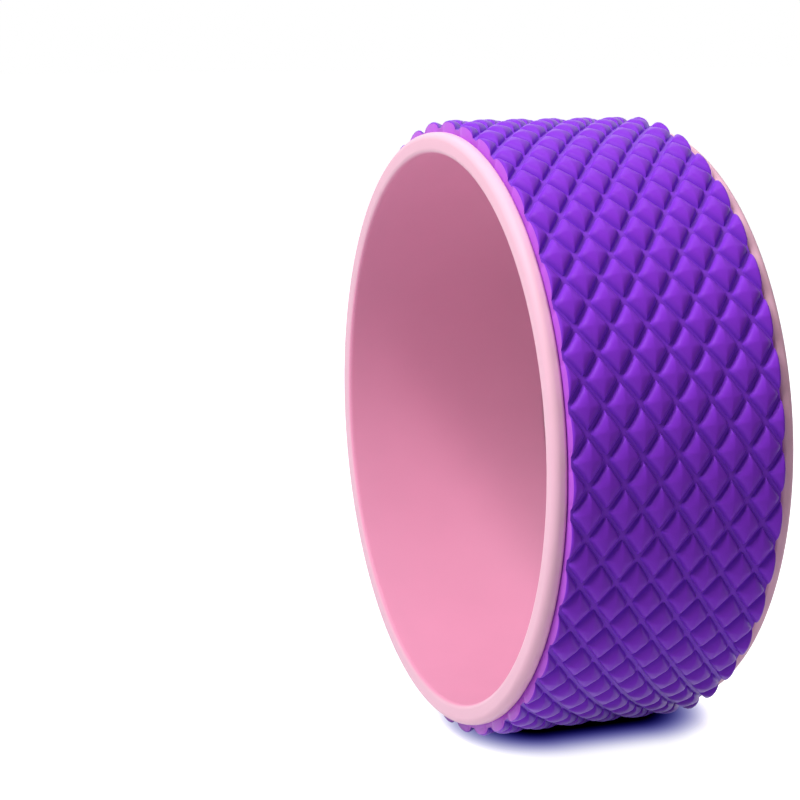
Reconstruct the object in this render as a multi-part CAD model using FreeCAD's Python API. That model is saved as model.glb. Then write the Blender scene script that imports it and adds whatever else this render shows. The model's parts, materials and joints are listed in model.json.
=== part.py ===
import FreeCAD, Part
import math
import os

# Yoga wheel: a moulded hoop with a studded foam mat bonded into its channel.
# The origin is the wheel's centre. +Y runs along its axis and +Z is up.

# Hoop, mm
bore_diameter = 297.2
wheel_width = 130.0
hoop_wall = 4.5
rim_thickness = 7.5
rim_outer_round = 4.0
rim_inner_round = 3.0
rim_channel_round = 2.0
channel_corner_round = 0.8

# Adhesive film, mm
film_thickness = 0.25
film_setback = 0.6
bond_clearance = 0.15

# Foam mat, mm
mat_base = 8.55
mat_near_clearance = 0.2
mat_far_clearance = 1.7
groove_rise = 2.2
joint_width = 0.4
joint_angle = 180.0

# Studs on the mat, mm
stud_height = 4.5
stud_pitch = 19.0
stud_root_depth = 0.5
groove_width = 1.2
studs_round = 40
shoulder_reach_share = 0.78
shoulder_height_share = 0.58
crown_reach_share = 0.42

overrun = 5.0

bore_radius = bore_diameter / 2
half_width = wheel_width / 2
channel_radius = bore_radius + hoop_wall
channel_half = half_width - rim_thickness
film_inner_radius = channel_radius + bond_clearance
film_outer_radius = film_inner_radius + film_thickness
mat_radius = film_outer_radius + bond_clearance
mat_half = channel_half - (mat_near_clearance + mat_far_clearance) / 2
mat_shift = FreeCAD.Vector(0, (mat_near_clearance - mat_far_clearance) / 2, 0)
mat_corner_round = channel_corner_round + mat_near_clearance
groove_radius = mat_radius + mat_base
rim_radius = groove_radius - groove_rise
crown_radius = groove_radius + stud_height
stud_axial = stud_pitch / 2
stud_around = groove_radius * math.sin(math.pi / studs_round)
stud_root = groove_radius * (1 - math.cos(math.pi / studs_round)) + stud_root_depth

centre = FreeCAD.Vector(0, 0, 0)
axle = FreeCAD.Vector(0, 1, 0)


def rounded_outline(corners):
    """A closed wire in the XY plane through (x, y, radius) corners, each rounded by its radius."""
    spots = [FreeCAD.Vector(x, y, 0) for x, y, radius in corners]
    ends = []
    for i, (x, y, radius) in enumerate(corners):
        back = (spots[i - 1] - spots[i]).normalize()
        ahead = (spots[(i + 1) % len(spots)] - spots[i]).normalize()
        half_angle = back.getAngle(ahead) / 2
        reach = radius / math.tan(half_angle)
        depth = radius / math.sin(half_angle) - radius
        middle = spots[i] + (back + ahead).normalize() * depth
        ends.append((spots[i] + back * reach, middle, spots[i] + ahead * reach, radius))
    edges = []
    for i, (start, middle, end, radius) in enumerate(ends):
        if radius > 0:
            edges.append(Part.Arc(start, middle, end).toShape())
        edges.append(Part.LineSegment(end, ends[(i + 1) % len(ends)][0]).toShape())
    return Part.Wire(edges)


def turned(corners):
    """A solid of revolution about the wheel's axis."""
    return Part.Face(rounded_outline(corners)).revolve(centre, axle, 360)


def make_hoop():
    corners = [
        (bore_radius, -half_width, rim_inner_round),
        (rim_radius, -half_width, rim_outer_round),
        (rim_radius, -channel_half, rim_channel_round),
        (channel_radius, -channel_half, channel_corner_round),
        (channel_radius, channel_half, channel_corner_round),
        (rim_radius, channel_half, rim_channel_round),
        (rim_radius, half_width, rim_outer_round),
        (bore_radius, half_width, rim_inner_round),
    ]
    return turned(corners)


def joint_cutter():
    """The thin slab that leaves a strip's two ends a joint apart."""
    reach = crown_radius + overrun - bore_radius
    slab = Part.makeBox(reach, wheel_width, joint_width)
    slab.translate(FreeCAD.Vector(bore_radius, -half_width, -joint_width / 2))
    slab.rotate(centre, axle, -joint_angle)
    return slab


def make_film():
    film_half = mat_half - mat_corner_round - film_setback
    corners = [
        (film_inner_radius, -film_half, 0),
        (film_outer_radius, -film_half, 0),
        (film_outer_radius, film_half, 0),
        (film_inner_radius, film_half, 0),
    ]
    return turned(corners).cut(joint_cutter()).translated(mat_shift)


def stud_level(reach, height):
    """The four corners of a stud's diamond section at a height over the groove floor."""
    x = groove_radius + height
    return [
        FreeCAD.Vector(x, reach * stud_axial, 0),
        FreeCAD.Vector(x, 0, reach * stud_around),
        FreeCAD.Vector(x, -reach * stud_axial, 0),
        FreeCAD.Vector(x, 0, -reach * stud_around),
    ]


def make_stud():
    """One diamond stud on +X: steep sides, sloped shoulders and a small flat crown."""
    half_across = stud_axial * stud_around / math.hypot(stud_axial, stud_around)
    foot_reach = 1 - groove_width / 2 / half_across
    shoulder_reach = foot_reach * shoulder_reach_share
    shoulder_height = stud_height * shoulder_height_share
    flare = (foot_reach - shoulder_reach) * stud_root / shoulder_height
    levels = [
        stud_level(foot_reach + flare, -stud_root),
        stud_level(shoulder_reach, shoulder_height),
        stud_level(foot_reach * crown_reach_share, stud_height),
    ]
    faces = [Part.Face(Part.makePolygon(levels[0] + levels[0][:1]))]
    for lower, upper in zip(levels, levels[1:]):
        for i in range(len(lower)):
            j = (i + 1) % len(lower)
            side = [lower[i], lower[j], upper[j], upper[i], lower[i]]
            faces.append(Part.Face(Part.makePolygon(side)))
    faces.append(Part.Face(Part.makePolygon(levels[-1] + levels[-1][:1])))
    return Part.Solid(Part.Shell(faces))


def stud_row(stud, offset):
    """The studs along one row, at every pitch from an offset, cut off at the mat's edges.

    One whose middle lies more than a quarter of its length past the edge is left out.
    """
    low = groove_radius - stud_root - overrun
    slab = Part.makeBox(crown_radius + overrun - low, mat_half * 2, (stud_around + overrun) * 2)
    slab.translate(FreeCAD.Vector(low, -mat_half, -stud_around - overrun))
    steps = int(mat_half / stud_pitch) + 1
    row = []
    for k in range(-steps, steps + 1):
        y = k * stud_pitch + offset
        if abs(y) - stud_axial / 2 >= mat_half:
            continue
        copy = stud.copy()
        copy.translate(FreeCAD.Vector(0, y, 0))
        if abs(y) + stud_axial > mat_half:
            copy = copy.common(slab).Solids[0]
        row.append(copy)
    return row


def make_mat():
    corners = [
        (mat_radius, -mat_half, mat_corner_round),
        (groove_radius, -mat_half, 0),
        (groove_radius, mat_half, 0),
        (mat_radius, mat_half, mat_corner_round),
    ]
    band = turned(corners)
    stud = make_stud()
    pitch_angle = 360 / studs_round
    # A quarter pitch of lead puts two rows of studs evenly under the wheel
    lead = pitch_angle / 4
    studs = []
    for offset, start in ((0, lead), (stud_axial, lead + pitch_angle / 2)):
        row = stud_row(stud, offset)
        for k in range(studs_round):
            for one in row:
                copy = one.copy()
                copy.rotate(centre, axle, -(start + k * pitch_angle))
                studs.append(copy)
    return band.multiFuse(studs).cut(joint_cutter()).translated(mat_shift)


os.makedirs("parts", exist_ok=True)
pieces = {
    "hoop": make_hoop(),
    "adhesive_film": make_film(),
    "tread_mat": make_mat(),
}
for name, piece in pieces.items():
    solid = piece if piece.ShapeType == "Solid" else piece.Solids[0]
    solid.exportStep(os.path.join("parts", name + ".step"))
    print(name, "valid" if solid.isValid() else "not valid", len(piece.Solids), "solid",
          len(solid.Faces), "faces", round(solid.Volume / 1000, 1), "cm3")
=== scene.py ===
import bmesh
import bpy
import json
import math
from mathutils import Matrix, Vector


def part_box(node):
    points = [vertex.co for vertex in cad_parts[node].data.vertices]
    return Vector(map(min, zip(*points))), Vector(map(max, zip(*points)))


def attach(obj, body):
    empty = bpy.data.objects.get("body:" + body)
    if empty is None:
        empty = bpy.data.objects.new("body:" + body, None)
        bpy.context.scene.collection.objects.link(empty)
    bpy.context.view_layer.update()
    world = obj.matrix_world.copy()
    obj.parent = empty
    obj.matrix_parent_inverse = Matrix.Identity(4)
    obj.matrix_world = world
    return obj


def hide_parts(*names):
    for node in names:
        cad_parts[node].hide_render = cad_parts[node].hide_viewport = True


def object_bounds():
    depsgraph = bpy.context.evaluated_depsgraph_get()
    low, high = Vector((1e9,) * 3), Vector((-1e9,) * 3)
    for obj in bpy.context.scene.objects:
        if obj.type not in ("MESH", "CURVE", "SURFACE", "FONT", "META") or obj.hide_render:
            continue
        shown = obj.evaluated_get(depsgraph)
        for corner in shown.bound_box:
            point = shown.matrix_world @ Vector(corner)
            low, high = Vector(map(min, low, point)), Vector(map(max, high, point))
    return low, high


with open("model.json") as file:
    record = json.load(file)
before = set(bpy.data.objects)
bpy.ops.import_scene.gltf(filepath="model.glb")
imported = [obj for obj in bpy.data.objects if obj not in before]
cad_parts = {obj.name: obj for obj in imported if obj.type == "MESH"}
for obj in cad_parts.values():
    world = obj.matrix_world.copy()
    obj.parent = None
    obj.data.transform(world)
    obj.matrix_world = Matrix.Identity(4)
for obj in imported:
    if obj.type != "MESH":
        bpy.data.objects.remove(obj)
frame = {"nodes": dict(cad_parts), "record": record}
cadLow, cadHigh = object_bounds()
scene = bpy.context.scene
scene.view_settings.view_transform = "Standard"
mm = 0.001
boreRadius = frame["record"]["mounts"][0]["dims"]["r_mm"] * mm
floorLevel = cadLow.z  # the lowest studs stand on it
print("frame loaded, box", [round(x, 4) for x in cadHigh - cadLow])


def toLinear(hexText):  # sRGB hex to a linear colour with alpha
    shares = [int(hexText[i:i + 2], 16) / 255 for i in (1, 3, 5)]
    linear = [c / 12.92 if c <= 0.04045 else ((c + 0.055) / 1.055) ** 2.4 for c in shares]
    return (*linear, 1.0)


def addNode(tree, kind, inputs=None, **settings):  # a node with its settings, values and links
    node = tree.nodes.new(kind)
    for name, value in settings.items():
        setattr(node, name, value)
    for name, value in (inputs or {}).items():
        if isinstance(value, bpy.types.NodeSocket):
            tree.links.new(value, node.inputs[name])
        else:
            node.inputs[name].default_value = value
    return node


def startMaterial(name):
    material = bpy.data.materials.new(name)
    material.use_nodes = True
    material.node_tree.nodes.clear()
    return material, material.node_tree


def meshPiece(name, bm, material):  # the bmesh as an object at the origin
    mesh = bpy.data.meshes.new(name)
    bm.to_mesh(mesh)
    bm.free()
    mesh.materials.append(material)
    piece = bpy.data.objects.new(name, mesh)
    scene.collection.objects.link(piece)
    return piece


# Materials

noiseReach = (0.3, 0.7)  # where most of a noise texture's values lie


def noise(tree, place, size, detail):  # a noise texture with lumps about this size
    return addNode(tree, "ShaderNodeTexNoise", {"Vector": place, "Scale": 1 / size, "Detail": detail})


absSet = {
    # one pink drawn as a shaded and a lit copy: painted shade on the bore wall, painted light on the rims
    "shadedWallColour": "#E99EBD",
    "litRimColour": "#ECBCCE",  # painted light: paler than the wall, standing in for the strong light and sheen on the rims
    "litRimStart": (0.4 * mm, 1.6 * mm),  # depth from the bore's surface where the wall's painted shade turns to the rims' painted light
    "drift": 0.03,  # share by which the pigment's brightness wanders
    "mottle": 40 * mm,  # how slowly it wanders
    "peel": 7 * mm,  # orange peel of the mould steel
    "peelDepth": 0.006 * mm,
    "haze": 30 * mm,  # slow change in the mould polish
    "glossy": 0.32,
    "dull": 0.38,
    "ior": 1.5,
    "specular": 0.1,
}


def mouldedAbs():  # gloss from a polished mould: clear soft reflections, a faint orange peel
    material, tree = startMaterial("glossy_moulded_ABS")
    place = addNode(tree, "ShaderNodeTexCoord").outputs["Object"]
    mottle = noise(tree, place, absSet["mottle"], 2)
    across = addNode(tree, "ShaderNodeVectorMath", {0: place, 1: (1, 0, 1)}, operation="MULTIPLY")
    radius = addNode(tree, "ShaderNodeVectorMath", {0: across.outputs["Vector"]}, operation="LENGTH")
    # share of the rims' painted light, by distance from the axle
    litRim = addNode(tree, "ShaderNodeMapRange", {
        "Value": radius.outputs["Value"],
        "From Min": boreRadius + absSet["litRimStart"][0], "From Max": boreRadius + absSet["litRimStart"][1],
    }, interpolation_type="SMOOTHSTEP")
    pigmentAndLight = addNode(tree, "ShaderNodeMix", {
        "Factor": litRim.outputs["Result"],
        6: toLinear(absSet["shadedWallColour"]),
        7: toLinear(absSet["litRimColour"]),
    }, data_type="RGBA")
    level = addNode(tree, "ShaderNodeMapRange", {
        "Value": mottle.outputs["Fac"], "To Min": 1 - absSet["drift"], "To Max": 1 + absSet["drift"],
    })
    colour = addNode(tree, "ShaderNodeHueSaturation", {"Color": pigmentAndLight.outputs[2], "Value": level.outputs["Result"]})
    haze = noise(tree, place, absSet["haze"], 4)
    rough = addNode(tree, "ShaderNodeMapRange", {
        "Value": haze.outputs["Fac"], "From Min": noiseReach[0], "From Max": noiseReach[1],
        "To Min": absSet["glossy"], "To Max": absSet["dull"],
    })
    peel = noise(tree, place, absSet["peel"], 1)
    bump = addNode(tree, "ShaderNodeBump", {"Height": peel.outputs["Fac"], "Distance": absSet["peelDepth"]})
    shader = addNode(tree, "ShaderNodeBsdfPrincipled", {
        "Base Color": colour.outputs["Color"],
        "Roughness": rough.outputs["Result"],
        "IOR": absSet["ior"],
        "Specular IOR Level": absSet["specular"],
        "Normal": bump.outputs["Normal"],
    })
    addNode(tree, "ShaderNodeOutputMaterial", {"Surface": shader.outputs["BSDF"]})
    return material


foamSet = {
    "crownColour": "#8034CB",
    # painted light: the grooves a little lighter than the crowns, to offset their shade
    "litGrooveColour": "#7E3CCB",
    "litCutColour": "#B45AD8",  # painted light: paler on the strip's cut sides, standing in for the strong light on the near side
    "cutFacing": (0.97, 0.99),  # how squarely a face must look along the axle to count as cut
    "mottle": 14 * mm,  # uneven pigment in the foam sheet
    "mottleShare": 0.35,
    "cells": 0.8 * mm,  # closed cells are finer, drawn coarse enough to show
    "cellDepth": 0.02 * mm,
    "satin": 0.28,
    "matt": 0.34,
    "ior": 1.36,
    "specular": 0.13,
    "gleam": "#E6B4F8",  # the skin tints what it reflects
}


def pressedEva():  # hot pressed closed-cell foam: a satin skin with fine cells, with painted light in the grooves and on the cut sides
    material, tree = startMaterial("satin_pressed_EVA_foam")
    place = addNode(tree, "ShaderNodeTexCoord").outputs["Object"]
    rise = addNode(tree, "ShaderNodeAttribute", attribute_name="studRise").outputs["Fac"]
    mottle = noise(tree, place, foamSet["mottle"], 3)
    # the mix runs from the grooves' painted light up to the crowns' colour, with a little random mottle
    blend = addNode(tree, "ShaderNodeMath", {
        0: mottle.outputs["Fac"], 1: foamSet["mottleShare"], 2: rise,
    }, operation="MULTIPLY_ADD")
    colour = addNode(tree, "ShaderNodeMix", {
        "Factor": blend.outputs[0],
        6: toLinear(foamSet["litGrooveColour"]),
        7: toLinear(foamSet["crownColour"]),
    }, data_type="RGBA")
    # faces that look along the axle take the paler colour: painted light on the cut sides
    facing = addNode(tree, "ShaderNodeNewGeometry").outputs["True Normal"]
    sideways = addNode(tree, "ShaderNodeSeparateXYZ", {"Vector": facing}).outputs["Y"]
    flat = addNode(tree, "ShaderNodeMath", {0: sideways}, operation="ABSOLUTE")
    cut = addNode(tree, "ShaderNodeMapRange", {
        "Value": flat.outputs[0], "From Min": foamSet["cutFacing"][0], "From Max": foamSet["cutFacing"][1],
    })
    pigmentAndLight = addNode(tree, "ShaderNodeMix", {
        "Factor": cut.outputs["Result"], 6: colour.outputs[2], 7: toLinear(foamSet["litCutColour"]),
    }, data_type="RGBA")
    cells = noise(tree, place, foamSet["cells"], 2)
    rough = addNode(tree, "ShaderNodeMapRange", {
        "Value": cells.outputs["Fac"], "From Min": noiseReach[0], "From Max": noiseReach[1],
        "To Min": foamSet["satin"], "To Max": foamSet["matt"],
    })
    bump = addNode(tree, "ShaderNodeBump", {"Height": cells.outputs["Fac"], "Distance": foamSet["cellDepth"]})
    shader = addNode(tree, "ShaderNodeBsdfPrincipled", {
        "Base Color": pigmentAndLight.outputs[2],
        "Roughness": rough.outputs["Result"],
        "IOR": foamSet["ior"],
        "Specular IOR Level": foamSet["specular"],
        "Specular Tint": toLinear(foamSet["gleam"]),
        "Normal": bump.outputs["Normal"],
    })
    addNode(tree, "ShaderNodeOutputMaterial", {"Surface": shader.outputs["BSDF"]})
    return material


filmSet = {"colour": "#E4E2D6", "streak": 5 * mm, "roughness": (0.35, 0.5), "ior": 1.47}


def acrylicFilm():  # double-sided tape: milky and a little streaked by its coating knife
    material, tree = startMaterial("milky_acrylic_film")
    place = addNode(tree, "ShaderNodeTexCoord").outputs["Object"]
    streak = noise(tree, place, filmSet["streak"], 2)
    rough = addNode(tree, "ShaderNodeMapRange", {
        "Value": streak.outputs["Fac"], "To Min": filmSet["roughness"][0], "To Max": filmSet["roughness"][1],
    })
    shader = addNode(tree, "ShaderNodeBsdfPrincipled", {
        "Base Color": toLinear(filmSet["colour"]),
        "Roughness": rough.outputs["Result"],
        "IOR": filmSet["ior"],
    })
    addNode(tree, "ShaderNodeOutputMaterial", {"Surface": shader.outputs["BSDF"]})
    return material


# Hoop

hoopSet = {
    "wall": 4.5 * mm,
    "rimThickness": 7.5 * mm,
    "innerRound": 3 * mm,
    "outerRound": 4 * mm,
    "lipRound": 2 * mm,  # the rim's edge beside the mat
    "cornerRound": 0.8 * mm,
    "steps": 384,
    "nearness": 0.05 * mm,  # a vertex this close to a corner belongs to it
}


def makeHoop(material):
    low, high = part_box("hoop")
    rim, half = high.x, high.y
    floor = boreRadius + hoopSet["wall"]
    inside = half - hoopSet["rimThickness"]
    corners = []  # radius, half width, rounding, segments
    corners.append((boreRadius, half, hoopSet["innerRound"], 6))
    corners.append((rim, half, hoopSet["outerRound"], 8))
    corners.append((rim, inside, hoopSet["lipRound"], 6))
    corners.append((floor, inside, hoopSet["cornerRound"], 2))
    bm = bmesh.new()
    ring = [bm.verts.new((r, -y, 0)) for r, y, rounding, segments in corners]
    ring += [bm.verts.new((r, y, 0)) for r, y, rounding, segments in reversed(corners)]
    edges = [bm.edges.new((a, b)) for a, b in zip(ring, ring[1:] + ring[:1])]
    bmesh.ops.spin(bm, geom=ring + edges, axis=(0, 1, 0), angle=math.tau,
                   steps=hoopSet["steps"], use_merge=True)
    bmesh.ops.remove_doubles(bm, verts=bm.verts, dist=0.01 * mm)
    for r, y, rounding, segments in corners:
        around = [e for e in bm.edges if all(
            abs(math.hypot(v.co.x, v.co.z) - r) < hoopSet["nearness"]
            and abs(abs(v.co.y) - y) < hoopSet["nearness"] for v in e.verts)]
        bmesh.ops.bevel(bm, geom=around, offset=rounding, offset_type="OFFSET", segments=segments,
                        profile=0.5, affect="EDGES", material=-1)
    bmesh.ops.recalc_face_normals(bm, faces=bm.faces)
    for face in bm.faces:
        face.smooth = True
    hoop = meshPiece("moulded_hoop", bm, material)
    even = hoop.modifiers.new("even_normals", "WEIGHTED_NORMAL")  # keeps the long walls flat
    even.weight = 100
    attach(hoop, "root")
    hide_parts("hoop")
    print("hoop", len(hoop.data.polygons), "faces")
    return hoop


# Tread mat

matSet = {
    "base": 8.55 * mm,  # foam under the grooves
    "bond": 0.55 * mm,  # adhesive film with its clearances
    "studHeight": 4.2 * mm,
    "pitch": 19 * mm,  # along the axle
    "around": 40,  # pitches round the wheel
    "groove": 1.8 * mm,
    "dome": 0.42,  # share of the height in the gentle dome, the rest is in the steep sides
    "steepness": 7,
    "levels": (  # share of the half width, squareness
        (1, 14), (0.95, 13), (0.87, 11), (0.75, 8), (0.52, 5), (0.24, 3),
    ),
    "cornerSpread": 10,  # degrees to the points on either side of a ring's corners
    "edgeRound": 1.5 * mm,  # the hot knife rounds the studs that it cuts
    "edgeCuts": (0, 0.4, 0.8),  # shares of that rounding where the mesh is divided
    "edgeDrop": 0.25,  # share of a cut stud's height lost at the edge
    "joint": 0.4 * mm,  # gap between the strip's two ends
    "sharpAngle": 45,  # degrees
    "weld": 0.02 * mm,  # vertices this close become one
    "onPlane": 0.005 * mm,
}


def studCell(grooveRadius):  # one diamond of the sheet, flat: x round the wheel, y along the axle, z up
    reachX = math.pi * grooveRadius / matSet["around"]
    reachY = matSet["pitch"] / 2
    across = reachX * reachY / math.hypot(reachX, reachY)
    foot = across - matSet["groove"] / 2
    bm = bmesh.new()
    corners = [bm.verts.new(p) for p in ((0, reachY, 0), (-reachX, 0, 0), (0, -reachY, 0), (reachX, 0, 0))]
    spread = matSet["cornerSpread"]
    turns = [math.radians(45 + 90 * k + side) for k in range(4) for side in (-spread, 0, spread)]
    rings = []
    for share, power in matSet["levels"]:
        lost = matSet["dome"] * share ** 2 + (1 - matSet["dome"]) * share ** matSet["steepness"]
        ring = []
        for turn in turns:
            u, w = math.cos(turn), math.sin(turn)  # square to the stud's two pairs of sides
            reach = share * foot / across / (abs(u) ** power + abs(w) ** power) ** (1 / power)
            ring.append(bm.verts.new((reach * (u - w) / 2 * reachX, reach * (u + w) / 2 * reachY,
                                      matSet["studHeight"] * (1 - lost))))
        rings.append(ring)
    for k in range(4):  # the groove floor beside each side of the stud
        outline = [rings[0][(3 * k + i) % len(turns)] for i in (1, 2, 3, 4)]
        bm.faces.new([corners[(k + 1) % 4], corners[k]] + outline)
    for lower, upper in zip(rings, rings[1:]):
        for i in range(len(turns)):
            bm.faces.new((lower[i - 1], lower[i], upper[i], upper[i - 1]))
    top = bm.faces.new(rings[-1])
    bmesh.ops.poke(bm, faces=[top])["verts"][0].co.z = matSet["studHeight"]
    return bm


def repeat(bm, geom, shift, count):  # copies of a patch, each one shift further on
    made = []
    for k in range(1, count):
        copy = bmesh.ops.duplicate(bm, geom=geom)["geom"]
        bmesh.ops.translate(bm, verts=[g for g in copy if isinstance(g, bmesh.types.BMVert)], vec=shift * k)
        made += copy
    return geom + made


def cutSheet(bm, place, normal, trim):  # divides the sheet along a plane, and trims what lies past it
    bmesh.ops.bisect_plane(bm, geom=bm.verts[:] + bm.edges[:] + bm.faces[:], dist=matSet["onPlane"],
                           plane_co=place, plane_no=normal, clear_outer=trim)


def makeMat(material):
    low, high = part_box("tread_mat")
    half = (high.y - low.y) / 2
    middle = (high.y + low.y) / 2  # the strip lies a little nearer one end
    grooveRadius = boreRadius + hoopSet["wall"] + matSet["bond"] + matSet["base"]
    stepX = Vector((math.tau * grooveRadius / matSet["around"], 0, 0))
    stepY = Vector((0, matSet["pitch"], 0))
    columns = 2 * math.ceil(half / matSet["pitch"]) + 1
    rows = matSet["around"] + 2
    bm = studCell(grooveRadius)
    cell = bm.verts[:] + bm.edges[:] + bm.faces[:]
    pair = cell + repeat(bm, cell, (stepX + stepY) / 2, 2)[len(cell):]
    line = repeat(bm, pair, stepY, columns)
    repeat(bm, line, stepX, rows)
    startX = -stepX.x * ((rows - 1) / 2 + 1 / 4)  # two rows of studs share the weight at the bottom
    startY = -stepY.y * (columns - 1) / 2
    bmesh.ops.translate(bm, verts=bm.verts, vec=(startX, startY, 0))
    bmesh.ops.remove_doubles(bm, verts=bm.verts, dist=matSet["weld"])
    print("sheet", len(bm.faces), "faces before it is cut to size")
    end = math.pi * grooveRadius - matSet["joint"] / 2
    for place, normal in (((end, 0, 0), (1, 0, 0)), ((-end, 0, 0), (-1, 0, 0)),
                          ((0, half, 0), (0, 1, 0)), ((0, -half, 0), (0, -1, 0))):
        cutSheet(bm, place, normal, True)
    inner = half - matSet["edgeRound"]
    for share in matSet["edgeCuts"]:
        y = inner + share * matSet["edgeRound"]
        for side in (y, -y):
            cutSheet(bm, (0, side, 0), (0, 1, 0), False)
    bmesh.ops.remove_doubles(bm, verts=bm.verts, dist=matSet["onPlane"])
    rise = bm.verts.layers.float.new("studRise")
    for v in bm.verts:
        v[rise] = v.co.z / matSet["studHeight"]
        past = min(max(0, abs(v.co.y) - inner) / matSet["edgeRound"], 1)
        v.co.z *= 1 - matSet["edgeDrop"] * (1 - math.sqrt(1 - past ** 2))
    sides = [e for e in bm.edges if e.is_boundary and all(
        abs(abs(v.co.y) - half) < 2 * matSet["onPlane"] for v in e.verts)]
    below = bmesh.ops.extrude_edge_only(bm, edges=sides)["geom"]
    hem = sorted((v for v in below if isinstance(v, bmesh.types.BMVert)), key=lambda v: v.co.x)
    for v in hem:
        v.co.z = -matSet["base"]
        v[rise] = 0
    near = [v for v in hem if v.co.y < 0]
    far = [v for v in hem if v.co.y > 0]
    for a, b, c, d in zip(near, near[1:], far[1:], far):
        bm.faces.new((a, b, c, d))
    bmesh.ops.holes_fill(bm, edges=[e for e in bm.edges if e.is_boundary], sides=0)
    for v in bm.verts:  # wrap the strip round the hoop
        angle = v.co.x / grooveRadius
        reach = grooveRadius + v.co.z
        v.co = (reach * math.cos(angle), v.co.y + middle, reach * math.sin(angle))
    bmesh.ops.recalc_face_normals(bm, faces=bm.faces)
    for face in bm.faces:
        face.smooth = True
    for edge in bm.edges:
        edge.smooth = edge.calc_face_angle(0) < math.radians(matSet["sharpAngle"])
    print("mat open edges", sum(e.is_boundary for e in bm.edges))
    mat = meshPiece("foam_mat", bm, material)
    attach(mat, "root")
    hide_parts("tread_mat")
    print("mat", len(mat.data.polygons), "faces")
    return mat


makeHoop(mouldedAbs())
makeMat(pressedEva())
film = frame["nodes"]["adhesive_film"]
film.data.materials.clear()
film.data.materials.append(acrylicFilm())
print("pieces made")

# Camera

cameraSet = {
    "place": (1.03173, -0.4573, 0.25454),
    "turn": (77.808, -0.607, 70.293),  # degrees
    "lens": 93.923,
    "sensor": 36.0,
}
cameraData = bpy.data.cameras.new("camera")
cameraData.lens = cameraSet["lens"]
cameraData.sensor_width = cameraSet["sensor"]
cameraData.clip_end = 50
camera = bpy.data.objects.new("camera", cameraData)
camera.location = cameraSet["place"]
camera.rotation_euler = [math.radians(a) for a in cameraSet["turn"]]
scene.collection.objects.link(camera)
scene.camera = camera

# Studio

studioSet = {
    "floorSize": 12.0,
    "floorColour": "#E2E2E8",
    "paintedFringeColour": "#2A1CFF",  # painted purple light that the mat throws into its painted shadow
    "footprint": 27 * mm,  # half the length of the strip under the wheel where the shadow is painted
    "shadeMiddle": (18 * mm, 16 * mm),
    "near": 18 * mm,  # the painted shadow lifts to white between these distances from that strip
    "far": 60 * mm,
    "lateness": 4,  # the paper's colour, painted black in the shadow, returns later than its glow
    "ambient": 0.01,
}
lamps = [  # name, place, size, watts, colour
    ("key_softbox", (0.4, -1.2, 1.1), 0.9, 16, "#FFFFFF"),
    ("side_softbox", (0.1, -0.8, 1.5), 0.5, 13, "#FFFFFF"),
    ("top_softbox", (-0.2, 0.0, 1.5), 0.9, 6, "#FFFFFF"),
    ("back_softbox", (0.3, 0.7, 1.4), 0.7, 3.5, "#FFFFFF"),
    ("front_softbox", (0.55, -0.6, 1.5), 0.25, 4, "#FFE0E6"),
]


def seenRays(tree):  # 1 for what the eye, a reflection or a clear piece shows, 0 for light on the rest
    path = addNode(tree, "ShaderNodeLightPath").outputs
    direct = addNode(tree, "ShaderNodeMath", {
        0: path["Is Camera Ray"], 1: path["Is Glossy Ray"],
    }, operation="ADD")
    return addNode(tree, "ShaderNodeMath", {
        0: direct.outputs[0], 1: path["Is Transmission Ray"],
    }, operation="ADD", use_clamp=True).outputs[0]


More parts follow.
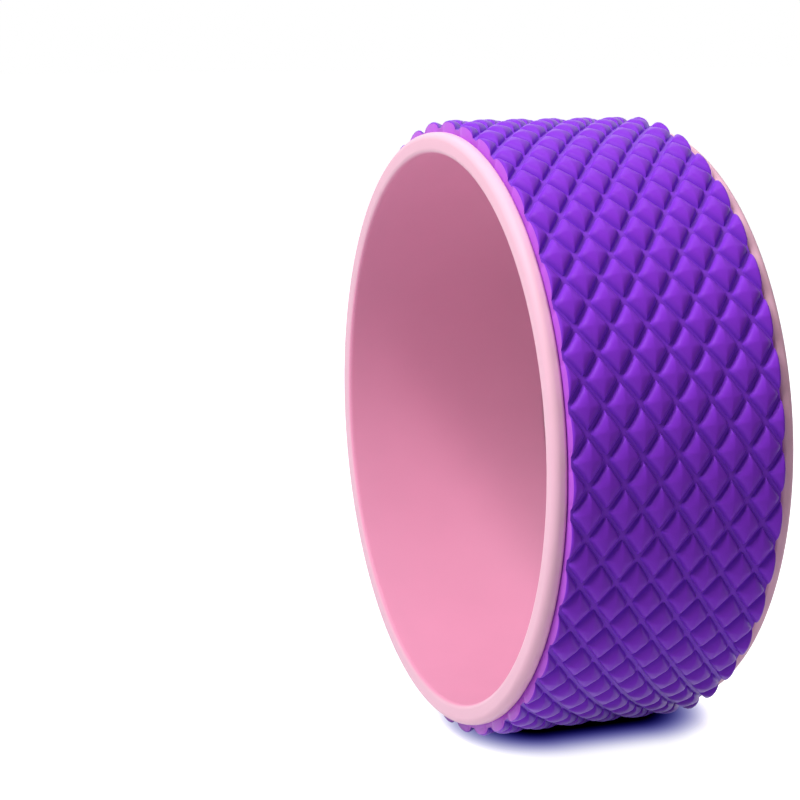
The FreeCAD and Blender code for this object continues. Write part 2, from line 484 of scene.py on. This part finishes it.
def makeFloor():
    # the wheel's shadow on the floor is painted: near the wheel the paper goes black and its glow violet
    material, tree = startMaterial("studio_sweep_paper_painted_shadow")
    place = addNode(tree, "ShaderNodeTexCoord").outputs["Object"]
    shade = addNode(tree, "ShaderNodeVectorMath", {
        0: place, 1: (*studioSet["shadeMiddle"], 0),
    }, operation="SUBTRACT")
    spread = addNode(tree, "ShaderNodeVectorMath", {0: shade.outputs["Vector"]}, operation="ABSOLUTE")
    beyond = addNode(tree, "ShaderNodeVectorMath", {
        0: spread.outputs["Vector"], 1: (0, studioSet["footprint"], -floorLevel),
    }, operation="SUBTRACT")
    outside = addNode(tree, "ShaderNodeVectorMath", {0: beyond.outputs["Vector"]}, operation="MAXIMUM")
    away = addNode(tree, "ShaderNodeVectorMath", {0: outside.outputs["Vector"]}, operation="LENGTH")
    fade = addNode(tree, "ShaderNodeMapRange", {
        "Value": away.outputs["Value"], "From Min": studioSet["near"], "From Max": studioSet["far"],
    }, interpolation_type="SMOOTHSTEP")
    tint = addNode(tree, "ShaderNodeMix", {
        "Factor": fade.outputs["Result"], 6: toLinear(studioSet["paintedFringeColour"]), 7: (1, 1, 1, 1),
    }, data_type="RGBA")
    seen = seenRays(tree)
    strength = addNode(tree, "ShaderNodeMath", {0: fade.outputs["Result"], 1: seen}, operation="MULTIPLY")
    late = addNode(tree, "ShaderNodeMath", {
        0: fade.outputs["Result"], 1: studioSet["lateness"],
    }, operation="POWER")
    shaded = addNode(tree, "ShaderNodeMix", {
        "Factor": late.outputs[0], 6: (0, 0, 0, 1), 7: toLinear(studioSet["floorColour"]),
    }, data_type="RGBA")
    paper = addNode(tree, "ShaderNodeBsdfDiffuse", {"Color": shaded.outputs[2]})
    glow = addNode(tree, "ShaderNodeEmission", {"Color": tint.outputs[2], "Strength": strength.outputs[0]})
    both = addNode(tree, "ShaderNodeAddShader", {0: paper.outputs["BSDF"], 1: glow.outputs["Emission"]})
    addNode(tree, "ShaderNodeOutputMaterial", {"Surface": both.outputs["Shader"]})
    bm = bmesh.new()
    bmesh.ops.create_grid(bm, x_segments=2, y_segments=2, size=studioSet["floorSize"] / 2)
    bmesh.ops.translate(bm, verts=bm.verts, vec=(0, 0, floorLevel))
    floor = meshPiece("floor", bm, material)


def makeWorld():  # white to the eye and in reflections, plain grey light on the rest
    world = bpy.data.worlds.new("studio")
    world.use_nodes = True
    tree = world.node_tree
    tree.nodes.clear()
    seen = seenRays(tree)
    strength = addNode(tree, "ShaderNodeMapRange", {
        "Value": seen, "To Min": studioSet["ambient"], "To Max": 1,
    })
    sky = addNode(tree, "ShaderNodeBackground", {
        "Color": (1, 1, 1, 1), "Strength": strength.outputs["Result"],
    })
    addNode(tree, "ShaderNodeOutputWorld", {"Surface": sky.outputs["Background"]})
    scene.world = world


def makeLamps():
    for name, place, size, watts, colour in lamps:
        data = bpy.data.lights.new(name, "AREA")
        data.energy = watts
        data.size = size
        data.color = toLinear(colour)[:3]
        lamp = bpy.data.objects.new(name, data)
        lamp.location = place
        lamp.rotation_euler = (-Vector(place)).to_track_quat("-Z", "Y").to_euler()
        lamp.visible_camera = False
        scene.collection.objects.link(lamp)


makeFloor()
makeWorld()
makeLamps()
print("studio lit")
